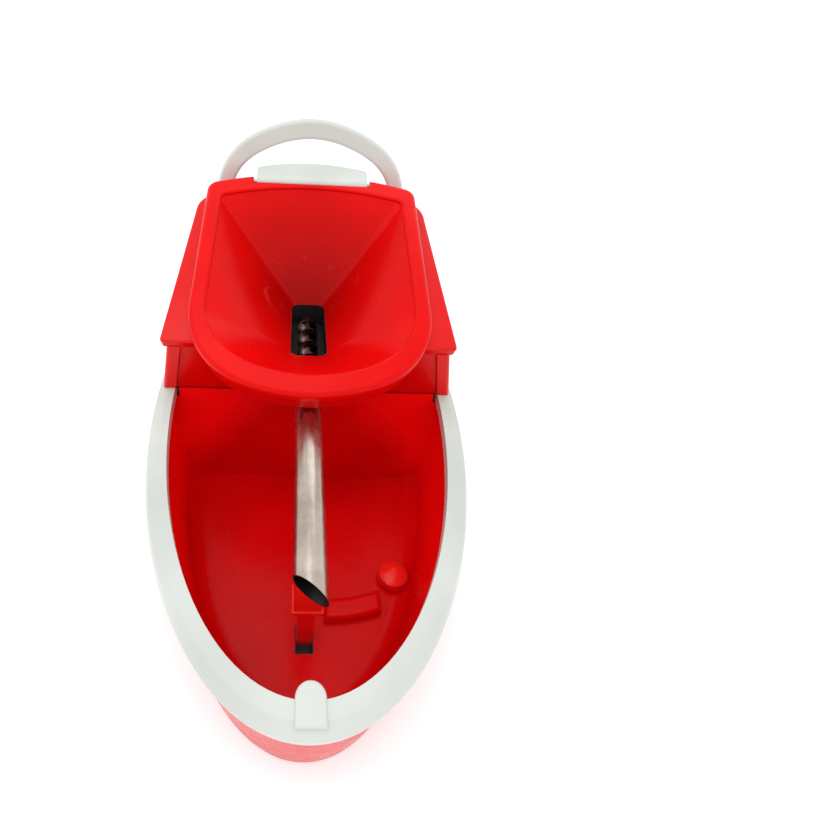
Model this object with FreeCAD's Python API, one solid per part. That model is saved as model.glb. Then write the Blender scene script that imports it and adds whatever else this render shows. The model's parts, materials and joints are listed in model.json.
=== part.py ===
import FreeCAD, Part
import math
import os

# Two-compartment mop bucket with a lift-out screw-fed wringer.
# Millimetres. X to the right, +Y towards the wringer end, +Z up, floor at z = 0.
# The origin is under the middle of the overall length and width.

V = FreeCAD.Vector
os.makedirs("parts", exist_ok=True)

# ---- tub and rim ----
RIM_Z = 135.0            # top of the rim ring above the floor
RIM_HALF = 155.5         # half width over the rim
NOSE = 341.0             # nose ellipse, long half axis
Y_NOSE = 85.0            # where the nose ellipse meets the straight sides
Y_SIDE_END = 160.0       # where the rear corner arcs begin
CORNER_R = 90.0          # rear corner radius over the rim
SKIRT_Z = 5.0            # bottom edge of the outer wall
SPIGOT_Z = 129.0         # top of the wall inside the rim channel
STEP_Z = 121.0           # ledge that the rim stands on
FLOOR_Z = 20.0           # inside floor
WALL = 3.0
BULKHEAD_Y = 20.0        # front face of the cross wall at z = 0
BULKHEAD_LEAN = 0.157    # the cross wall leans back by this much per mm of height
BULKHEAD_Z = 134.3       # its crest, inside the ring
BULKHEAD_SHELF_Z = 124.5  # its ends, under the ring
BULKHEAD_HALF = 132.0

# ---- screw and drain tube ----
AXIS_Z = RIM_Z + 11.0
TUBE_R = 12.0
TUBE_IN_R = 11.2
TUBE_BACK_Y = 55.0
TUBE_MID_Y = -177.0      # middle of the slanted outlet
TUBE_CUT = math.radians(38.0)
SCREW_R = 11.6           # in the open trough
SCREW_TUBE_R = 10.8      # inside the tube
TROUGH_R = 12.0
SHAFT_R = 4.0
SCREW_PITCH = 24.0
SCREW_TURNS = 7.75
SCREW_Y0 = -38.0

# ---- hopper, laid out in its own slanted plane ----
TILT = 22.0
LIP_Y = -27.0
LIP_Z = RIM_Z + 50.0
MOUTH_LEN = 273.0
MOUTH_HALF = 113.5
MOUTH_IN_HALF = 97.5
MOUTH_IN_S0 = 22.0
MOUTH_IN_S1 = 250.5
BEAD_H = 15.0
APRON_H = 28.0
APRON_INSET = 3.5
SLOT_HALF = 19.0
SLOT_Y0 = 60.0
SLOT_Y1 = 163.0
SLOT_Z = RIM_Z + 30.0

# ---- wringer housing ----
HOUSE_Y0 = 43.0
HOUSE_Y1 = 245.0
HOUSE_TOP_Y1 = 229.0
SEAT_GAP = 0.3
SHOULDER_TOP = -17.0
SHOULDER_T = 9.0
FUNNEL_N = -3.5          # depth at which the mouth turns into the funnel


def save(shape, name):
    if len(shape.Solids) == 1:
        shape = shape.Solids[0]
    print(name, "solids", len(shape.Solids), "valid", shape.isValid(), round(shape.Volume))
    shape.exportStep("parts/" + name + ".step")


def box(x0, x1, y0, y1, z0, z1):
    return Part.makeBox(x1 - x0, y1 - y0, z1 - z0, V(x0, y0, z0))


def rod(r, start, direction, length):
    return Part.makeCylinder(r, length, start, direction)


def mirrored(shape):
    return shape.mirror(V(0, 0, 0), V(1, 0, 0))


def arc(p0, p1, p2):
    return Part.Arc(p0, p1, p2).toShape()


def line(p0, p1):
    return Part.makeLine(p0, p1)


def nose_arc(half, nose, z, start, stop):
    ellipse = Part.Ellipse(V(0, Y_NOSE - nose, z), V(half, Y_NOSE, z), V(0, Y_NOSE, z))
    return Part.Arc(ellipse, start, stop).toShape()


def plan(inset, z, nose_extra=0.0):
    """Bucket outline: elliptical nose, straight sides, rounded rear corners."""
    half = RIM_HALF - inset
    nose = NOSE - inset - nose_extra
    r = CORNER_R - inset
    rear = Y_SIDE_END + r
    c = half - r
    d = r * math.sqrt(0.5)
    edges = [nose_arc(half, nose, z, 0, math.pi / 2)]
    edges.append(line(V(half, Y_NOSE, z), V(half, Y_SIDE_END, z)))
    mid = V(c + d, Y_SIDE_END + d, z)
    edges.append(arc(V(half, Y_SIDE_END, z), mid, V(c, rear, z)))
    edges.append(line(V(c, rear, z), V(-c, rear, z)))
    mid = V(-c - d, Y_SIDE_END + d, z)
    edges.append(arc(V(-c, rear, z), mid, V(-half, Y_SIDE_END, z)))
    edges.append(line(V(-half, Y_SIDE_END, z), V(-half, Y_NOSE, z)))
    edges.append(nose_arc(half, nose, z, -math.pi / 2, 0))
    return Part.Wire(edges)


def rounded(half0, half1, y0, y1, r0, r1, z=0.0, bow=0.0):
    """Eight-sided outline: half width half0 in front and half1 behind, rounded corners."""
    k0 = r0 * (1 - math.sqrt(0.5))
    k1 = r1 * (1 - math.sqrt(0.5))
    f = V(half0 - r0, y0 + bow, z)
    g = V(half0, y0 + r0, z)
    h = V(half1, y1 - r1, z)
    i = V(half1 - r1, y1, z)

    def m(p):
        return V(-p.x, p.y, p.z)

    gm = V(half0 - k0, y0 + k0 + bow * 0.3, z)
    hm = V(half1 - k1, y1 - k1, z)
    edges = [arc(f, gm, g), line(g, h), arc(h, hm, i)]
    if bow > 0:
        edges.append(arc(i, V(0, y1 + bow, z), m(i)))
    else:
        edges.append(line(i, m(i)))
    edges += [arc(m(i), m(hm), m(h)), line(m(h), m(g)), arc(m(g), m(gm), m(f))]
    if bow > 0:
        edges.append(arc(m(f), V(0, y0, z), f))
    else:
        edges.append(line(m(f), f))
    return Part.Wire(edges)


def end_arcs(half, end, r, big, sign, z):
    """One bowed end: corner arc of radius r, tangent to a flat arc of radius big."""
    c = half - r
    k = math.sqrt((big - r) ** 2 - c * c)
    cy = end - sign * (big - k)
    ratio = big / (big - r)
    join = V(c * ratio, end - sign * (big - k * ratio), z)
    a = math.atan2(k, c) / 2
    mid = V(c + r * math.cos(a), cy + sign * r * math.sin(a), z)
    return join, mid, V(half, cy, z)


def mouth(half0, half1, y0, y1, r0, big0, r1, big1, z):
    """Horseshoe outline with smoothly bowed ends."""
    f, gm, g = end_arcs(half0, y0, r0, big0, -1, z)
    i, hm, h = end_arcs(half1, y1, r1, big1, 1, z)

    def m(p):
        return V(-p.x, p.y, p.z)

    edges = [arc(f, gm, g), line(g, h), arc(h, hm, i), arc(i, V(0, y1, z), m(i))]
    edges += [arc(m(i), m(hm), m(h)), line(m(h), m(g)), arc(m(g), m(gm), m(f))]
    edges.append(arc(m(f), V(0, y0, z), f))
    return Part.Wire(edges)


def slab(x0, x1, points):
    """A profile in the YZ plane, carried from x0 to x1."""
    corners = [V(x0, y, z) for y, z in points + points[:1]]
    return Part.Face(Part.makePolygon(corners)).extrude(V(x1 - x0, 0, 0))


def prism(wire, dz):
    return Part.Face(wire).extrude(V(0, 0, dz))


def skin(wires):
    return Part.makeLoft(wires, True, True)


def tilted(shape):
    """Carries a shape from the hopper's own plane into the bucket's frame."""
    out = shape.copy()
    out.rotate(V(0, 0, 0), V(1, 0, 0), TILT)
    out.translate(V(0, LIP_Y, LIP_Z))
    return out


def edges_near(shape, test):
    return [e for e in shape.Edges if test(e)]


def flat_at(edge, z):
    b = edge.BoundBox
    return abs(b.ZMin - z) < 0.01 and abs(b.ZMax - z) < 0.01


# ---------------------------------------------------------------- tub
DRAIN_X = 86.5
DRAIN_Y = -106.0
DRAIN_HOLE_R = 9.0
SOCKET_Y0 = -176.0
SOCKET_Y1 = -151.0
SOCKET_HALF = 8.3
FEET = [(-64.0, -168.0), (64.0, -168.0), (-112.0, 165.0), (112.0, 165.0)]
FEET_NAMES = ["front_left", "front_right", "rear_left", "rear_right"]
LAND_Z = FLOOR_Z + 11.0
PLUG_R = 13.3
PLUG_SEAT = FLOOR_Z + 6.0


def basin():
    body = skin([plan(24, FLOOR_Z, 7), plan(7.5, SPIGOT_Z + 1)])
    return body.makeFillet(14, edges_near(body, lambda e: flat_at(e, FLOOR_Z)))


def make_tub():
    outer = skin([plan(7, SKIRT_Z), plan(1.5, STEP_Z)])
    outer = outer.fuse(prism(plan(4.5, STEP_Z - 1), SPIGOT_Z - STEP_Z + 1))
    hollow = basin()
    y0 = BULKHEAD_Y
    y1 = BULKHEAD_Y + 200 * BULKHEAD_LEAN
    front = hollow.common(slab(-200, 200, [(-300, 0), (y0, 0), (y1, 200), (-300, 200)]))
    back = hollow.common(slab(-200, 200, [(y0 + WALL, 0), (300, 0), (300, 200), (y1 + WALL, 200)]))
    shelf = box(BULKHEAD_HALF, 147, 20, 60, BULKHEAD_SHELF_Z, 200)
    crest = slab(-BULKHEAD_HALF, BULKHEAD_HALF, [(y0, 0), (y0 + WALL, 0), (y1 + WALL, 200), (y1, 200)])
    crest = crest.common(box(-200, 200, 0, 100, 100, BULKHEAD_Z))
    saddle = rod(TUBE_R + 8, V(0, 0, AXIS_Z), V(0, 1, 0), 60)
    # double wall: the base is open underneath, outside the basin's own skin
    under = skin([plan(10, SKIRT_Z - 1), plan(5.5, STEP_Z - 12)])
    keep = skin([plan(21, FLOOR_Z - WALL, 7), plan(4.5, SPIGOT_Z)])
    tub = outer.cut(under.cut(keep))
    for x, y in FEET:
        tub = tub.fuse(rod(12, V(x, y, 8), V(0, 0, 1), FLOOR_Z - WALL - 7.5))
    tub = tub.cut(front.fuse([back, shelf, mirrored(shelf)]))
    tub = tub.fuse(crest).cut(saddle)
    land = rod(163, V(20, 13, FLOOR_Z - 1), V(0, 0, 1), LAND_Z - FLOOR_Z + 1)
    land = land.cut(rod(143, V(20, 13, 0), V(0, 0, 1), 100))
    land = land.common(box(18, 71, -160, -90, 0, 100))
    land = land.makeFillet(5, edges_near(land, lambda e: flat_at(e, LAND_Z)))
    tub = tub.fuse(land)
    tub = tub.fuse(rod(15, V(DRAIN_X, DRAIN_Y, FLOOR_Z - 8), V(0, 0, 1), PLUG_SEAT - FLOOR_Z + 8))
    clear = rod(15.5, V(DRAIN_X, DRAIN_Y, PLUG_SEAT), V(0, 0, 1), 60)
    tub = tub.cut(clear)
    tub = tub.cut(rod(DRAIN_HOLE_R, V(DRAIN_X, DRAIN_Y, 0), V(0, 0, 1), 40))
    for x, y in FEET:
        tub = tub.cut(rod(2.0, V(x, y, 0), V(0, 0, 1), 17))
    slot = box(-SOCKET_HALF, SOCKET_HALF, SOCKET_Y0, SOCKET_Y1, 0, FLOOR_Z + 1)
    return tub.cut(slot)


save(make_tub(), "tub")


# ---------------------------------------------------------------- rim ring
TAB_HALF = 9.3
TAB_TIP_Y = -226.5


def make_rim():
    low = plan(0, STEP_Z + 0.2)
    shoulder = plan(0, RIM_Z - 8.5)
    crown = plan(2.4, RIM_Z - 4.0)
    slope = plan(8.5, RIM_Z - 0.9)
    top = plan(12.5, RIM_Z)
    body = skin([low, shoulder]).fuse([skin([shoulder, crown]), skin([crown, slope]), skin([slope, top])])
    body = body.cut(prism(plan(19, 100), 60))
    channel = prism(plan(4.2, 100), RIM_Z - 5.3 - 100)
    channel = channel.cut(prism(plan(16, 90), 60))
    body = body.cut(channel)
    under_lip = prism(plan(15.5, 100), 25.5)
    body = body.cut(under_lip)
    tab = box(-TAB_HALF, TAB_HALF, TAB_TIP_Y - 24, TAB_TIP_Y - TAB_HALF, RIM_Z - 4, RIM_Z + 1.6)
    tab = tab.fuse(rod(TAB_HALF, V(0, TAB_TIP_Y - TAB_HALF, RIM_Z - 4), V(0, 0, 1), 5.6))
    tab = tab.removeSplitter()
    tab = tab.makeFillet(1.4, edges_near(tab, lambda e: flat_at(e, RIM_Z + 1.6)))
    return body.fuse(tab).removeSplitter()


save(make_rim(), "rim_ring")


# ---------------------------------------------------------------- saddle post and its socket
SADDLE_Z = AXIS_Z - 3.0
STEM_HALF = 7.1
HEAD_HALF = 10.7
HEAD_Z = 94.0
STEM_Y0 = -166.0
STEM_Y1 = -153.0


def make_socket():
    body = box(-SOCKET_HALF, SOCKET_HALF, SOCKET_Y0, SOCKET_Y1, 9, FLOOR_Z)
    pocket = box(-STEM_HALF, STEM_HALF, SOCKET_Y0 + 1.2, SOCKET_Y1 - 2, 11, 40)
    return body.cut(pocket)


def level_rectangle(half, y0, y1, z):
    corners = [V(-half, y0, z), V(half, y0, z), V(half, y1, z), V(-half, y1, z), V(-half, y0, z)]
    return Part.Wire(Part.makePolygon(corners))


def make_post():
    y0 = STEM_Y0 - 5
    y1 = STEM_Y1 + 3
    stem = box(-STEM_HALF, STEM_HALF, STEM_Y0, STEM_Y1, 11, HEAD_Z - 6)
    neck = level_rectangle(STEM_HALF, STEM_Y0, STEM_Y1, HEAD_Z - 9)
    crown = level_rectangle(HEAD_HALF, y0, y1, HEAD_Z)
    head = box(-HEAD_HALF, HEAD_HALF, y0, y1, HEAD_Z, SADDLE_Z)
    brow = box(-HEAD_HALF - 1.2, HEAD_HALF + 1.2, y0 - 1.6, y1, HEAD_Z, HEAD_Z + 4.5)
    brow = brow.makeFillet(1.4, edges_near(brow, lambda e: e.BoundBox.YMax < y0))
    post = stem.fuse([skin([neck, crown]), head, brow])
    cradle = rod(TUBE_R + 0.35, V(0, -220, AXIS_Z), V(0, 1, 0), 100)
    return post.cut(cradle).removeSplitter()


save(make_socket(), "post_socket")
save(make_post(), "saddle_post")


# ---------------------------------------------------------------- feet
for (x, y), place in zip(FEET, FEET_NAMES):
    pad = Part.makeCone(11, 12.5, 8, V(x, y, 0), V(0, 0, 1))
    pad = pad.cut(rod(5, V(x, y, 0), V(0, 0, 1), 4.5))
    pad = pad.cut(rod(2.0, V(x, y, 0), V(0, 0, 1), 10))
    save(pad, "foot_" + place)
    screw = rod(2.0, V(x, y, 3), V(0, 0, 1), 13)
    screw = screw.fuse(rod(4, V(x, y, 1.9), V(0, 0, 1), 2.6))
    screw = screw.cut(box(x - 3, x + 3, y - 0.5, y + 0.5, 1, 2.9))
    save(screw.removeSplitter(), "foot_screw_" + place)


# ---------------------------------------------------------------- drain plug
def make_plug():
    seat = PLUG_SEAT + SEAT_GAP
    cap = rod(PLUG_R, V(DRAIN_X, DRAIN_Y, seat), V(0, 0, 1), 4)
    ball = Part.makeSphere(27, V(DRAIN_X, DRAIN_Y, seat + 4 + 3.6 - 27))
    dome = ball.common(rod(PLUG_R, V(DRAIN_X, DRAIN_Y, seat + 3.5), V(0, 0, 1), 20))
    stem = rod(DRAIN_HOLE_R - 1.9, V(DRAIN_X, DRAIN_Y, 9), V(0, 0, 1), seat - 8)
    groove = rod(DRAIN_HOLE_R, V(DRAIN_X, DRAIN_Y, 14), V(0, 0, 1), 3)
    groove = groove.cut(rod(DRAIN_HOLE_R - 3.4, V(DRAIN_X, DRAIN_Y, 13), V(0, 0, 1), 5))
    return cap.fuse([dome, stem]).cut(groove).removeSplitter()


def make_seal():
    ring = rod(DRAIN_HOLE_R - 0.4, V(DRAIN_X, DRAIN_Y, 14), V(0, 0, 1), 3)
    ring = ring.cut(rod(DRAIN_HOLE_R - 3.4, V(DRAIN_X, DRAIN_Y, 13), V(0, 0, 1), 5))
    return ring.makeFillet(0.9, edges_near(ring, lambda e: e.BoundBox.XLength > 2 * (DRAIN_HOLE_R - 1)
                                           and e.BoundBox.ZLength < 0.01))


save(make_plug(), "drain_plug")
save(make_seal(), "plug_seal")


# ---------------------------------------------------------------- hopper
def mouth_outer(inset, n):
    half = MOUTH_HALF - inset
    return mouth(half, half - 2.5, inset, MOUTH_LEN - inset, 86 - inset, 152 - inset,
                 14 - inset, 330 - inset, n)


def mouth_inner(outset, n):
    half = MOUTH_IN_HALF + outset
    return mouth(half, half - 2.5, MOUTH_IN_S0 - outset, MOUTH_IN_S1 + outset, 71 + outset,
                 134 + outset, 8 + outset, 310 + outset, n)


NOTCH_HALF = 62.5
NOTCH_N = -13.5
NOTCH_S = 254.2
GRIP_HALF = 59.0
GRIP_R = 7.3
HINGE_S = 262.0
HINGE_N = -5.0
PIN_R = 2.0


def funnel(outset, n):
    top = tilted(mouth_inner(outset, n))
    r = 9 + outset
    low = rounded(SLOT_HALF + outset, SLOT_HALF + outset, SLOT_Y0 - outset, SLOT_Y1 + outset,
                  r, r, SLOT_Z, 0.6)
    return skin([low, top])


def make_hopper():
    bead = prism(mouth_outer(0, -BEAD_H), BEAD_H)
    bead = bead.makeFillet(6.0, edges_near(bead, lambda e: flat_at(e, 0) or flat_at(e, -BEAD_H)))
    bead = bead.cut(prism(mouth_inner(0, -60), 100))
    bead = bead.makeFillet(3.0, edges_near(bead, lambda e: flat_at(e, 0)
                                           and abs(e.BoundBox.XMax) < MOUTH_IN_HALF + 1
                                           and e.BoundBox.YMin > MOUTH_IN_S0 - 1
                                           and e.BoundBox.YMax < MOUTH_IN_S1 + 1))
    apron = prism(mouth_outer(APRON_INSET, -APRON_H), APRON_H - 4)
    apron = apron.cut(prism(mouth_inner(0, -60), 100))
    gutter = prism(mouth_outer(APRON_INSET + WALL, -APRON_H - 1), APRON_H - 3)
    gutter = gutter.cut(prism(mouth_inner(WALL, -60), 100))
    rim = bead.fuse(apron).cut(gutter)
    # cheeks and floor of the grip's notch, then the notch and its pin holes
    within = prism(mouth_outer(APRON_INSET + 1, -60), 100)
    block = box(-NOTCH_HALF - 10, NOTCH_HALF + 10, 225, 300, NOTCH_N - WALL, -4)
    block = block.cut(prism(mouth_inner(0.5, -60), 100)).common(within)
    notch = box(-NOTCH_HALF, NOTCH_HALF, NOTCH_S, 300, NOTCH_N, 20)
    rim = rim.fuse(block).cut(notch)
    rim = rim.cut(rod(PIN_R + 0.05, V(-NOTCH_HALF - 5.5, HINGE_S, HINGE_N), V(1, 0, 0),
                      2 * NOTCH_HALF + 11))
    wall = funnel(WALL, FUNNEL_N).cut(funnel(0, FUNNEL_N))
    band = prism(mouth_inner(WALL, FUNNEL_N - 2), 4).cut(prism(mouth_inner(0, -20), 30))
    hopper = tilted(rim.fuse(band)).fuse(wall)
    hopper = hopper.cut(funnel(0, FUNNEL_N))
    return hopper.removeSplitter()


save(make_hopper(), "hopper")


# ---------------------------------------------------------------- grip bar on the rear of the mouth
def make_grip():
    n0 = HINGE_N - GRIP_R
    g = GRIP_HALF
    h = HINGE_S
    edges = [line(V(g, h, n0), V(g, 278, n0)), arc(V(g, 278, n0), V(0, 287, n0), V(-g, 278, n0))]
    edges += [line(V(-g, 278, n0), V(-g, h, n0)), line(V(-g, h, n0), V(g, h, n0))]
    bar = prism(Part.Wire(edges), 2 * GRIP_R)
    bar = bar.makeFillet(4.5, edges_near(bar, lambda e: e.BoundBox.YMin > h + 1))
    bar = bar.fuse(rod(GRIP_R, V(-g, h, HINGE_N), V(1, 0, 0), 2 * g)).removeSplitter()
    hand = rod(8, V(-44, 281, n0 - 5), V(1, 0, 0), 88)
    bar = bar.cut(hand)
    bar = bar.cut(rod(PIN_R, V(-g - 1, HINGE_S, HINGE_N), V(1, 0, 0), 10))
    bar = bar.cut(rod(PIN_R, V(g - 9, HINGE_S, HINGE_N), V(1, 0, 0), 10))
    return tilted(bar)


save(make_grip(), "grip_bar")
pin = rod(PIN_R, V(GRIP_HALF - 9, HINGE_S, HINGE_N), V(1, 0, 0), NOTCH_HALF + 5 - GRIP_HALF + 9)
save(tilted(pin), "grip_pin_right")
save(mirrored(tilted(pin)), "grip_pin_left")


# ---------------------------------------------------------------- wringer housing
LUG_X0 = 82.0
LUG_X1 = 91.0
HANDLE_Y = 247.0
HANDLE_Z = RIM_Z + 71.0
HANDLE_PIN_R = 4.0
LEG_W = 13.0
LEG_T = 3.5
REAR_BUSH_R = 9.0


def shoulder_outline(inset, n):
    return rounded(139.5 - inset, 124 - inset, 62.5 + inset, 258 - inset, 4, 26, n)


def wall_solid(inset, z0, front=HOUSE_Y0):
    low = rounded(147.5 - inset, 145.5 - inset, front, HOUSE_Y1 - inset, 4, 84, z0)
    high = rounded(112 - inset, 114 - inset, front, HOUSE_TOP_Y1 - inset, 4, 30, RIM_Z + 140)
    return skin([low, high])


def make_housing():
    base = RIM_Z + SEAT_GAP
    limit = tilted(box(-200, 200, -100, 400, -250, SHOULDER_TOP - SHOULDER_T + 1))
    inner_limit = tilted(box(-200, 200, -100, 400, -250, SHOULDER_TOP - SHOULDER_T - 1.5))
    shell = wall_solid(0, base).common(limit)
    shell = shell.cut(wall_solid(WALL, base - 0.01, HOUSE_Y0 + WALL).common(inner_limit))
    foot = wall_solid(0, base).common(box(-200, 200, 0, 300, base, base + 4))
    foot = foot.cut(wall_solid(12, base - 0.01, HOUSE_Y0 + WALL))
    legs = wall_solid(0, base, HOUSE_Y0 - LEG_T).common(box(-200, 200, 0, HOUSE_Y0 + 1, base, 250))
    legs = legs.cut(wall_solid(LEG_W, base - 0.01, HOUSE_Y0 - 20)).common(limit)
    plate = prism(shoulder_outline(0, SHOULDER_TOP - SHOULDER_T), SHOULDER_T)
    plate = plate.makeFillet(2.5, edges_near(plate, lambda e: flat_at(e, SHOULDER_TOP)))
    body = shell.fuse([foot, legs, tilted(plate)])
    # opening for the hopper: its apron above the shoulder, its funnel below
    opening = tilted(prism(mouth_outer(APRON_INSET - 0.2, -60), 90))
    above = tilted(box(-200, 200, -100, 400, -APRON_H - 0.2, 200))
    body = body.cut(opening.common(above))
    body = body.cut(funnel(WALL + 0.5, FUNNEL_N))
    body = body.cut(rod(TUBE_R + 4, V(0, HOUSE_Y0 - 1, AXIS_Z), V(0, 1, 0), WALL + 2))
    return body.cut(rod(REAR_BUSH_R, V(0, 200, AXIS_Z), V(0, 1, 0), 60))


def rear_wall_y(z):
    t = (z - RIM_Z - SEAT_GAP) / (140.0 - SEAT_GAP)
    return HOUSE_Y1 + (HOUSE_TOP_Y1 - HOUSE_Y1) * t


def make_lug():
    y0 = rear_wall_y(HANDLE_Z) - 2.5
    lug = box(LUG_X0, LUG_X1, y0, HANDLE_Y, HANDLE_Z - 9, HANDLE_Z + 9)
    lug = lug.fuse(rod(9, V(LUG_X0, HANDLE_Y, HANDLE_Z), V(1, 0, 0), LUG_X1 - LUG_X0))
    return lug


housing = make_housing()
lug = make_lug()
housing = housing.fuse([lug, mirrored(lug)])
housing = housing.cut(wall_solid(WALL, RIM_Z + SEAT_GAP - 0.01)
                      .common(box(-120, 120, 180, 260, 190, 230)))
housing = housing.cut(rod(HANDLE_PIN_R, V(-LUG_X1, HANDLE_Y, HANDLE_Z), V(1, 0, 0), 2 * LUG_X1))
save(housing.removeSplitter(), "wringer_housing")


# ---------------------------------------------------------------- slot liner under the hopper
LINER_HALF = SLOT_HALF + WALL


def make_liner():
    y0 = HOUSE_Y0 + WALL + 0.2
    y1 = SLOT_Y1 + 9
    body = box(-LINER_HALF, LINER_HALF, y0, y1, AXIS_Z - 16, SLOT_Z)
    body = body.makeFillet(5, edges_near(body, lambda e: flat_at(e, AXIS_Z - 16)
                                         and e.BoundBox.YLength > 50))
    pocket = prism(rounded(18.4, 18.4, SLOT_Y0 + 0.5, SLOT_Y1 - 0.5, 8.5, 8.5, AXIS_Z - 5), 60)
    body = body.cut(pocket)
    body = body.cut(rod(TROUGH_R, V(0, TUBE_BACK_Y, AXIS_Z), V(0, 1, 0), SLOT_Y1 - TUBE_BACK_Y))
    body = body.cut(rod(TUBE_R, V(0, y0 - 1, AXIS_Z), V(0, 1, 0), TUBE_BACK_Y - y0 + 1))
    return body.cut(rod(SHAFT_R + 0.06, V(0, SLOT_Y1 - 1, AXIS_Z), V(0, 1, 0), 20))


save(make_liner(), "slot_liner")


# ---------------------------------------------------------------- drain tube and its gland
def make_tube():
    start = V(0, TUBE_BACK_Y, AXIS_Z)
    tube = rod(TUBE_R, start, V(0, -1, 0), 260)
    tube = tube.cut(rod(TUBE_IN_R, start + V(0, 1, 0), V(0, -1, 0), 262))
    blade = box(-60, 60, -200, 0, -40, 40)
    blade.rotate(V(0, 0, 0), V(0, 0, 1), -math.degrees(TUBE_CUT))
    blade.translate(V(0, TUBE_MID_Y, AXIS_Z))
    return tube.cut(blade)


def make_gland():
    y0 = HOUSE_Y0 - 3
    gland = rod(TUBE_R + 6.5, V(0, y0, AXIS_Z), V(0, 1, 0), 3)
    gland = gland.fuse(rod(TUBE_R + 4, V(0, y0, AXIS_Z), V(0, 1, 0), 3 + WALL))
    gland = gland.fuse(Part.makeTorus(TUBE_R + 4.5, 2, V(0, y0, AXIS_Z), V(0, 1, 0)))
    return gland.cut(rod(TUBE_R, V(0, y0 - 5, AXIS_Z), V(0, 1, 0), 20)).removeSplitter()


save(make_tube(), "drain_tube")
save(make_gland(), "tube_gland")


# ---------------------------------------------------------------- screw, its bush and its knob
KNOB_R = 10.5
KNOB_Y0 = 246.9
KNOB_LEN = 7.3


def make_bush():
    y0 = rear_wall_y(AXIS_Z) - WALL - 6
    bush = rod(REAR_BUSH_R, V(0, y0, AXIS_Z), V(0, 1, 0), 11.6)
    wall = wall_solid(0, RIM_Z + SEAT_GAP).common(box(-30, 30, 200, 300, 100, 200))
    flange = rod(10.5, V(0, y0 + 9, AXIS_Z), V(0, 1, 0), 2.6).cut(wall)
    bush = bush.fuse(flange)
    return bush.cut(rod(SHAFT_R + 0.06, V(0, 200, AXIS_Z), V(0, 1, 0), 60)).removeSplitter()


def flight_run(radius, first_turn, turns):
    spine = Part.makeHelix(SCREW_PITCH, SCREW_PITCH * turns, SHAFT_R)
    r0 = SHAFT_R - 0.2
    corners = [V(r0, 0, -1.5), V(radius, 0, -0.7), V(radius, 0, 0.7), V(r0, 0, 1.5), V(r0, 0, -1.5)]
    flight = Part.Wire(spine.Edges).makePipeShell([Part.makePolygon(corners)], True, True)
    flight.rotate(V(0, 0, 0), V(1, 0, 0), -90)
    flight.translate(V(0, SCREW_Y0 + SCREW_PITCH * first_turn, AXIS_Z))
    return flight


def make_flight():
    return flight_run(SCREW_TUBE_R, 0, 4).fuse(flight_run(SCREW_R, 4, SCREW_TURNS - 4))


def make_shaft():
    y0 = SCREW_Y0 - 8
    shaft = rod(SHAFT_R, V(0, y0, AXIS_Z), V(0, 1, 0), KNOB_Y0 + KNOB_LEN - 3 - y0)
    hub = rod(9.5, V(0, SCREW_Y0 + SCREW_PITCH * SCREW_TURNS - 4, AXIS_Z), V(0, 1, 0), 11)
    return shaft.fuse(hub).removeSplitter()


def make_knob():
    knob = rod(KNOB_R, V(0, KNOB_Y0, AXIS_Z), V(0, 1, 0), KNOB_LEN)
    knob = knob.makeFillet(2, edges_near(knob, lambda e: e.BoundBox.YMin > KNOB_Y0 + KNOB_LEN - 0.1))
    for k in range(12):
        a = math.radians(30 * k)
        spot = V(math.cos(a) * (KNOB_R + 0.9), KNOB_Y0 - 1, AXIS_Z + math.sin(a) * (KNOB_R + 0.9))
        knob = knob.cut(rod(1.8, spot, V(0, 1, 0), KNOB_LEN + 2))
    knob = knob.cut(rod(SHAFT_R, V(0, KNOB_Y0 - 1, AXIS_Z), V(0, 1, 0), KNOB_LEN - 2))
    return knob.cut(rod(1.5, V(0, KNOB_Y0, AXIS_Z), V(0, 1, 0), KNOB_LEN + 1))


save(make_bush(), "rear_bush")
save(make_flight(), "screw_flight")
save(make_shaft().cut(rod(1.5, V(0, KNOB_Y0, AXIS_Z), V(0, 1, 0), 20)), "screw_shaft")
save(make_knob(), "clean_out_knob")
cap_screw = rod(1.5, V(0, KNOB_Y0, AXIS_Z), V(0, 1, 0), KNOB_LEN + 0.5)
cap_screw = cap_screw.fuse(rod(3, V(0, KNOB_Y0 + KNOB_LEN, AXIS_Z), V(0, 1, 0), 1.8))
save(cap_screw.removeSplitter(), "knob_screw")


# ---------------------------------------------------------------- rear handle
HANDLE_T = 11.0


def make_handle():
    """Arch of rounded section in the XZ plane with an eye at each foot."""
    rise = [V(-100.4, 0, 0), V(-100.4, 0, 27), V(-99, 0, 54), V(-88, 0, 80), V(-48, 0, 107)]
    points = rise + [V(0, 0, 116.5)] + [V(-p.x, 0, p.z) for p in reversed(rise)]
    path = Part.BSplineCurve()
    path.interpolate(points)
    section = rounded(8.6, 8.6, -HANDLE_T / 2, HANDLE_T / 2, 3.2, 3.2)
    section.translate(V(-100.4, 0, 0))
    arch = Part.Wire(path.toShape()).makePipeShell([section], True, False)
    for side in (-1, 1):
        x0 = min(side * 92, side * 109.2)
        arch = arch.fuse(rod(9, V(x0, 0, 0), V(1, 0, 0), 17.2))
    arch = arch.cut(rod(HANDLE_PIN_R + 0.06, V(-120, 0, 0), V(1, 0, 0), 240))
    arch.translate(V(0, HANDLE_Y, HANDLE_Z))
    return arch


save(make_handle(), "rear_handle")
pivot = rod(HANDLE_PIN_R, V(LUG_X0, HANDLE_Y, HANDLE_Z), V(1, 0, 0), 28)
pivot = pivot.fuse(rod(7, V(109.6, HANDLE_Y, HANDLE_Z), V(1, 0, 0), 2.5))
pivot = pivot.removeSplitter()
save(pivot, "handle_pin_right")
save(mirrored(pivot), "handle_pin_left")
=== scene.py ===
import json
import math
import bpy
import bmesh
from mathutils import Matrix, Vector

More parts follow.
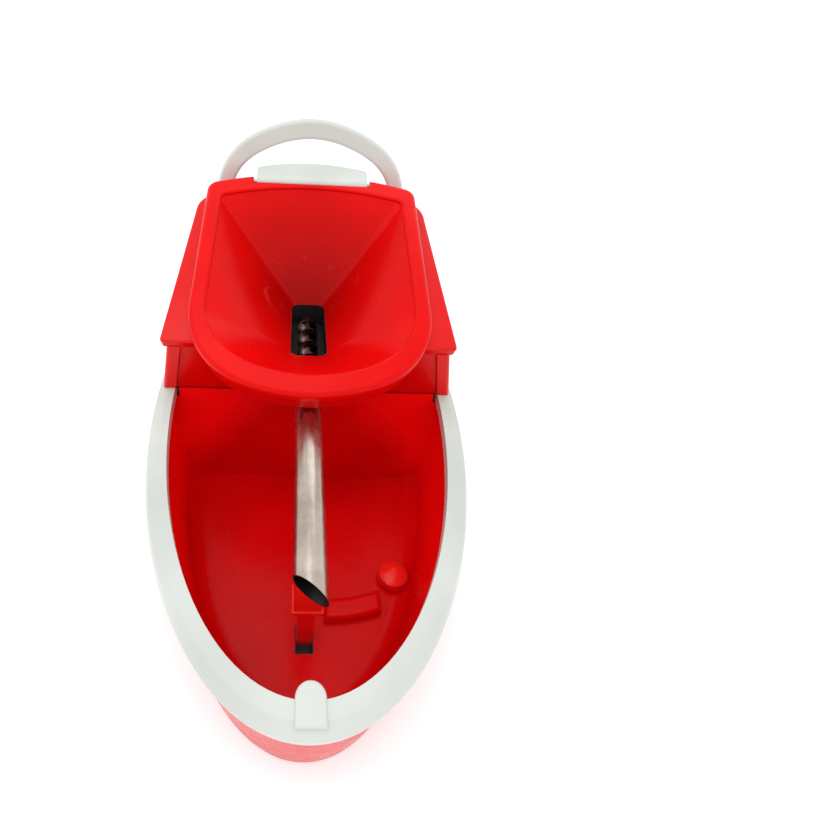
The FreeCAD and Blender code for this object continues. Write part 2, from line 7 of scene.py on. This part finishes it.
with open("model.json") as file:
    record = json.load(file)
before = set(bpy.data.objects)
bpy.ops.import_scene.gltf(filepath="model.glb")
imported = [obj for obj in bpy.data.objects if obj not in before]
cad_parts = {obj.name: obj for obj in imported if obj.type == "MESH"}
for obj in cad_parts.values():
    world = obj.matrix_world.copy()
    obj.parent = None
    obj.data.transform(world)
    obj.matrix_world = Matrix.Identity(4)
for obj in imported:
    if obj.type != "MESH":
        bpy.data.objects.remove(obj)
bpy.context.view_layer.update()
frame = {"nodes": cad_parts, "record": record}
scene = bpy.context.scene
nodes = frame["nodes"]

# ---------------------------------------------------------------- camera
EYE = Vector((-0.0135, -0.3012, 0.4183))
PITCH = math.radians(45.2)  # below the horizon
YAW = math.radians(2.9)     # from +Y towards +X
ROLL = math.radians(3.4)    # about the line of sight
LENS = 18.85                # mm
SENSOR_WIDTH = 36.0         # mm
SHIFT = (0.1227, 0.0287)
CLIP_START = 0.01

forward = Vector((math.sin(YAW) * math.cos(PITCH), math.cos(YAW) * math.cos(PITCH), -math.sin(PITCH)))
level_right = Vector((math.cos(YAW), -math.sin(YAW), 0.0))
upward = level_right.cross(forward)
cam_right = level_right * math.cos(ROLL) + upward * math.sin(ROLL)
cam_up = upward * math.cos(ROLL) - level_right * math.sin(ROLL)
cam_data = bpy.data.cameras.new("camera")
cam_data.lens = LENS
cam_data.sensor_width = SENSOR_WIDTH
cam_data.shift_x, cam_data.shift_y = SHIFT
cam_data.clip_start = CLIP_START
camera = bpy.data.objects.new("camera", cam_data)
basis = Matrix((cam_right, cam_up, -forward)).transposed().to_4x4()
camera.matrix_world = Matrix.Translation(EYE) @ basis
scene.collection.objects.link(camera)
scene.camera = camera
scene.view_settings.view_transform = "Standard"


# ---------------------------------------------------------------- material helpers
def srgb(r, g, b):
    """A colour given as 0 to 255 per channel, as the linear colour that a shader takes."""
    def lin(c):
        c /= 255.0
        return c / 12.92 if c <= 0.04045 else ((c + 0.055) / 1.055) ** 2.4
    return (lin(r), lin(g), lin(b), 1.0)


class Shader:
    """A Principled material with short calls for the node types used here."""

    def __init__(self, name):
        self.mat = bpy.data.materials.new(name)
        self.mat.use_nodes = True
        self.tree = self.mat.node_tree
        self.bsdf = self.tree.nodes["Principled BSDF"]
        coordinates = self.node("ShaderNodeTexCoord")
        self.coord = coordinates.outputs["Object"]
        self.normal = coordinates.outputs["Normal"]

    def node(self, kind):
        return self.tree.nodes.new(kind)

    def feed(self, socket, value):
        """Link an output to a socket, or set the socket to a plain value."""
        if isinstance(value, (int, float, tuple)):
            socket.default_value = value
        else:
            self.tree.links.new(value, socket)

    def scaled(self, x, y, z):
        n = self.node("ShaderNodeMapping")
        self.feed(n.inputs["Scale"], (x, y, z))
        self.feed(n.inputs["Vector"], self.coord)
        return n.outputs["Vector"]

    def noise(self, scale, detail=4.0, rough=0.5, vector=None):
        n = self.node("ShaderNodeTexNoise")
        self.feed(n.inputs["Scale"], scale)
        self.feed(n.inputs["Detail"], detail)
        self.feed(n.inputs["Roughness"], rough)
        self.feed(n.inputs["Vector"], vector or self.coord)
        return n.outputs["Fac"]

    def ramp(self, value, stops):
        n = self.node("ShaderNodeValToRGB")
        elements = n.color_ramp.elements
        while len(elements) < len(stops):
            elements.new(0.5)
        for element, (position, colour) in zip(elements, stops):
            element.position = position
            element.color = colour
        self.feed(n.inputs["Fac"], value)
        return n.outputs["Color"]

    def remap(self, value, start, end):
        """Straight line from start to end, each a pair (input, output), held level past both."""
        n = self.node("ShaderNodeMapRange")
        self.feed(n.inputs["From Min"], start[0])
        self.feed(n.inputs["To Min"], start[1])
        self.feed(n.inputs["From Max"], end[0])
        self.feed(n.inputs["To Max"], end[1])
        self.feed(n.inputs["Value"], value)
        return n.outputs["Result"]

    def mix(self, share, first, second):
        """Colour between first (share 0) and second (share 1)."""
        n = self.node("ShaderNodeMix")
        n.data_type = "RGBA"
        factor, a, b = n.inputs[0], n.inputs[6], n.inputs[7]
        self.feed(factor, share)
        self.feed(a, first)
        self.feed(b, second)
        return n.outputs[2]

    def math(self, operation, *values):
        n = self.node("ShaderNodeMath")
        n.operation = operation
        for socket, value in zip(n.inputs, values):
            self.feed(socket, value)
        return n.outputs[0]

    def vector_math(self, operation, a, b):
        n = self.node("ShaderNodeVectorMath")
        n.operation = operation
        self.feed(n.inputs[0], a)
        self.feed(n.inputs[1], b)
        return n.outputs

    def position(self):
        """Outputs X, Y and Z of the place on the piece."""
        n = self.node("ShaderNodeSeparateXYZ")
        self.feed(n.inputs[0], self.coord)
        return n.outputs

    def wander(self, scale):
        """Noise of plus or minus 8 mm, which breaks up the edge of a zone."""
        return self.remap(self.noise(scale), (0.3, -0.008), (0.7, 0.008))

    def bump(self, height, distance, strength, under=None):
        n = self.node("ShaderNodeBump")
        self.feed(n.inputs["Distance"], distance)
        self.feed(n.inputs["Strength"], strength)
        self.feed(n.inputs["Height"], height)
        if under is not None:
            self.feed(n.inputs["Normal"], under)
        return n.outputs["Normal"]

    def set(self, key, value):
        self.feed(self.bsdf.inputs[key], value)


# ---------------------------------------------------------------- material types
PLASTIC_IOR = 1.45
EDGE_WEAR = 0.2
SCUFF_COLOUR = srgb(238, 120, 108)
# painted shade for the inside of the tube
PAINTED_BORE_SHADE = srgb(20, 17, 17)
DRAWN_ANISOTROPY = 0.35


def add_painted_shade_and_scuffs(s, colour, spot, reach, dark):
    """Painted shade that deepens towards a spot, with a band of pale scuffs round it."""
    distance = s.vector_math("DISTANCE", s.coord, spot)["Value"]
    far = s.math("ADD", distance, s.wander(22.0))
    colour = s.mix(s.remap(far, (reach[0], 1.0), (reach[1], 0.0)), colour, dark)
    band_start = s.remap(far, (0.02, 0.0), (0.035, 1.0))
    band_end = s.remap(far, (0.045, 1.0), (0.07, 0.0))
    streaks = s.noise(75.0, 5.0, 0.7, s.scaled(1.0, 0.5, 1.0))
    scuff = s.remap(streaks, (0.58, 0.0), (0.78, 0.25))
    band = s.math("MULTIPLY", band_start, band_end)
    return s.mix(s.math("MULTIPLY", band, scuff), colour, SCUFF_COLOUR)


def add_painted_wall_light(s, colour, middle, low, high, bright):
    """Painted light: faces that look towards the middle of the tub are painted brighter up and outwards.
    """
    place = s.position()
    side = s.math("SUBTRACT", s.math("ABSOLUTE", place["X"]), middle)
    height = s.math("ADD", s.math("ADD", place["Z"], s.wander(14.0)), side)
    level_place = s.vector_math("MULTIPLY", s.coord, (1.0, 1.0, 0.0))["Vector"]
    outward = s.vector_math("DOT_PRODUCT", s.normal, level_place)["Value"]
    inside = s.math("LESS_THAN", outward, 0.0)
    share = s.math("MULTIPLY", inside, s.remap(height, (low, 0.0), (high, 1.0)))
    return s.mix(share, colour, bright)


def moulded(name, shades, rough, level, slot_shade=None, wall_light=None):
    """Injection-moulded plastic: flow variation, fine grain, hairline scratches, rubbed edges."""
    s = Shader(name)
    deep, main, pale = shades
    flow = s.noise(9.0, 3.0, 0.45)
    colour = s.ramp(flow, [(0.32, deep), (0.52, main), (0.75, pale)])
    edge = s.remap(s.node("ShaderNodeNewGeometry").outputs["Pointiness"], (0.53, 0.0), (0.62, 1.0))
    rub = s.math("MULTIPLY", edge, s.remap(s.noise(60.0), (0.35, 0.0), (0.7, 1.0)))
    colour = s.mix(s.math("MULTIPLY", rub, EDGE_WEAR), colour, pale)
    if slot_shade is not None:
        # painted shade: darker red towards the spot, with pale scuffs round it
        colour = add_painted_shade_and_scuffs(s, colour, **slot_shade)
    if wall_light is not None:
        # painted light: brighter red on the inward faces of the tub's upper walls
        colour = add_painted_wall_light(s, colour, **wall_light)
    s.set("Base Color", colour)
    hairlines = s.remap(s.noise(220.0, 2.0, 0.6, s.scaled(1.0, 0.06, 1.0)), (0.7, 0.0), (0.8, 1.0))
    cloud = s.remap(s.noise(30.0, 5.0, 0.6), (0.3, rough - 0.05), (0.7, rough + 0.07))
    s.set("Roughness", s.math("ADD", cloud, s.math("MULTIPLY", hairlines, 0.12)))
    grain = s.bump(s.noise(1400.0, 2.0), 0.00012, 0.22)
    s.set("Normal", s.bump(s.noise(26.0, 2.0), 0.0008, 0.16, grain))
    s.set("IOR", PLASTIC_IOR)
    s.set("Specular IOR Level", level)
    return s.mat


def steel(name, shades, rough, stretch, line_scale, bore=None):
    """Drawn or turned steel: lines along or round the stock, and faint stains."""
    s = Shader(name)
    dark, main, light = shades
    stain = s.noise(40.0, 5.0, 0.6)
    colour = s.ramp(stain, [(0.3, dark), (0.5, main), (0.72, light)])
    lines = s.noise(line_scale, 3.0, 0.7, s.scaled(*stretch))
    colour = s.mix(s.remap(lines, (0.35, 0.0), (0.65, 0.35)), colour, dark)
    worn = s.math("ADD", lines, s.math("MULTIPLY", stain, 0.5))
    roughness = s.remap(worn, (0.5, rough - 0.06), (0.95, rough + 0.1))
    metal = 1.0
    if bore is not None:
        # painted shade: the inside of the tube is painted near black and non-metallic, standing in for
        # the shade deep in the bore
        axis_z, radius = bore
        place = s.position()
        x_squared = s.math("POWER", place["X"], 2.0)
        z_squared = s.math("POWER", s.math("SUBTRACT", place["Z"], axis_z), 2.0)
        from_axis = s.math("SQRT", s.math("ADD", x_squared, z_squared))
        inside = s.math("LESS_THAN", from_axis, radius)
        colour = s.mix(inside, colour, PAINTED_BORE_SHADE)
        roughness = s.math("ADD", roughness, s.math("MULTIPLY", inside, 0.25))
        metal = s.math("SUBTRACT", 1.0, inside)
    s.set("Base Color", colour)
    s.set("Metallic", metal)
    s.set("Roughness", roughness)
    s.set("Normal", s.bump(lines, 0.00006, 0.35))
    s.set("Anisotropic", DRAWN_ANISOTROPY)
    return s.mat


def rubber(name, shades):
    """Matt rubber with dust in its grain."""
    s = Shader(name)
    dark, main, pale = shades
    dust = s.noise(70.0, 6.0, 0.65)
    s.set("Base Color", s.ramp(dust, [(0.35, dark), (0.55, main), (0.8, pale)]))
    s.set("Roughness", s.remap(dust, (0.3, 0.55), (0.75, 0.82)))
    s.set("Normal", s.bump(s.noise(1800.0, 2.0), 0.00015, 0.35))
    return s.mat


# ---------------------------------------------------------------- materials of this bucket
# each set of shades runs from dark to pale
RED = (srgb(214, 3, 4), srgb(222, 5, 5), srgb(232, 12, 9))
TUB_RED = (srgb(206, 2, 5), srgb(216, 3, 7), srgb(226, 7, 10))
FITTING_RED = (srgb(238, 20, 15), srgb(245, 28, 21), srgb(250, 38, 30))
LIGHT_GREY = (srgb(193, 198, 192), srgb(203, 208, 202), srgb(216, 220, 215))
BLACK = (srgb(16, 14, 14), srgb(26, 22, 22), srgb(44, 40, 39))
TUBE = (srgb(172, 158, 146), srgb(194, 183, 172), srgb(212, 204, 195))
SCREW = (srgb(92, 74, 70), srgb(134, 112, 107), srgb(176, 156, 150))
PIN = (srgb(120, 118, 116), srgb(176, 175, 173), srgb(214, 213, 211))
RUBBER = (srgb(18, 18, 18), srgb(30, 29, 28), srgb(62, 60, 57))

# painted shade round the slot of the hopper, and painted light on the upper walls of the tub
SLOT_PAINTED_SHADE = {"spot": (0.0, 0.15, 0.18), "reach": (0.03, 0.13), "dark": srgb(178, 2, 2)}
PAINTED_WALL_LIGHT = {"middle": 0.09, "low": 0.05, "high": 0.105, "bright": srgb(254, 9, 12)}
TUBE_BORE = (0.146, 0.01165)  # height of the axis, and a radius inside the tube's wall

# lines are drawn out along an axis whose scale is small
ALONG_Y = (1.0, 0.02, 1.0)
ROUND_Y = (0.05, 1.0, 0.05)
ALONG_X = (0.05, 1.0, 1.0)

red = moulded("red_moulding", RED, rough=0.2, level=0.3)
hopper_red = moulded("hopper_moulding", RED, rough=0.22, level=0.13, slot_shade=SLOT_PAINTED_SHADE)
tub_red = moulded("tub_moulding", TUB_RED, rough=0.26, level=0.12, wall_light=PAINTED_WALL_LIGHT)
fitting_red = moulded("fitting_moulding", FITTING_RED, rough=0.2, level=0.3)
grey = moulded("grey_moulding", LIGHT_GREY, rough=0.36, level=0.5)
black = moulded("black_moulding", BLACK, rough=0.5, level=0.5)
tube_metal = steel("tube_steel", TUBE, 0.25, ALONG_Y, line_scale=420.0, bore=TUBE_BORE)
screw_metal = steel("screw_steel", SCREW, 0.24, ROUND_Y, line_scale=900.0)
pin_metal = steel("pin_steel", PIN, 0.22, ALONG_X, line_scale=900.0)
foot_rubber = rubber("foot_rubber", RUBBER)

FINISH = {"red_plastic": red, "grey_plastic": grey, "black_plastic": black, "tube_steel": tube_metal,
          "screw_steel": screw_metal, "pin_steel": pin_metal, "rubber": foot_rubber}
OWN_FINISH = {"tub": tub_red, "hopper": hopper_red, "drain_plug": fitting_red, "saddle_post": fitting_red}

for part in frame["record"]["subparts"]:
    name = part["node"]
    materials = nodes[name].data.materials
    materials.clear()
    materials.append(OWN_FINISH.get(name, FINISH[part["material_slot"]]))

# ---------------------------------------------------------------- floor, light
REACH = 40.0       # half the width of the floor, which runs on to the horizon
FLOOR_GLOW = 0.2   # keeps the floor plain white round the bucket
WORLD_STRENGTH = 1.0

mesh = bpy.data.meshes.new("floor")
bm = bmesh.new()
corners = [(-REACH, -REACH), (REACH, -REACH), (REACH, REACH), (-REACH, REACH)]
bm.faces.new([bm.verts.new((x, y, 0.0)) for x, y in corners])
bm.to_mesh(mesh)
bm.free()
floor = bpy.data.objects.new("floor", mesh)
scene.collection.objects.link(floor)
pale_floor = Shader("pale_floor")
clouds = [(0.3, srgb(253, 253, 253)), (0.7, srgb(255, 255, 255))]
pale_floor.set("Base Color", pale_floor.ramp(pale_floor.noise(2.0), clouds))
pale_floor.set("Roughness", 0.6)
pale_floor.set("Emission Color", (1.0, 1.0, 1.0, 1.0))
pale_floor.set("Emission Strength", FLOOR_GLOW)
floor.data.materials.append(pale_floor.mat)

world = bpy.data.worlds.new("world")
scene.world = world
world.use_nodes = True
background = world.node_tree.nodes["Background"]
background.inputs["Color"].default_value = (1, 1, 1, 1)
background.inputs["Strength"].default_value = WORLD_STRENGTH


def soft_light(name, place, aim, size, watts):
    data = bpy.data.lights.new(name, "AREA")
    data.shape = "RECTANGLE"
    data.size, data.size_y = size
    data.energy = watts
    lamp = bpy.data.objects.new(name, data)
    lamp.location = place
    lamp.rotation_euler = (Vector(aim) - Vector(place)).to_track_quat("-Z", "Y").to_euler()
    scene.collection.objects.link(lamp)


soft_light("key", place=(-0.25, -0.12, 1.35), aim=(0, 0, 0.1), size=(1.1, 1.1), watts=4.6)
soft_light("rear", place=(0.3, 1.2, 1.3), aim=(0, 0.1, 0.2), size=(1.2, 0.6), watts=2)
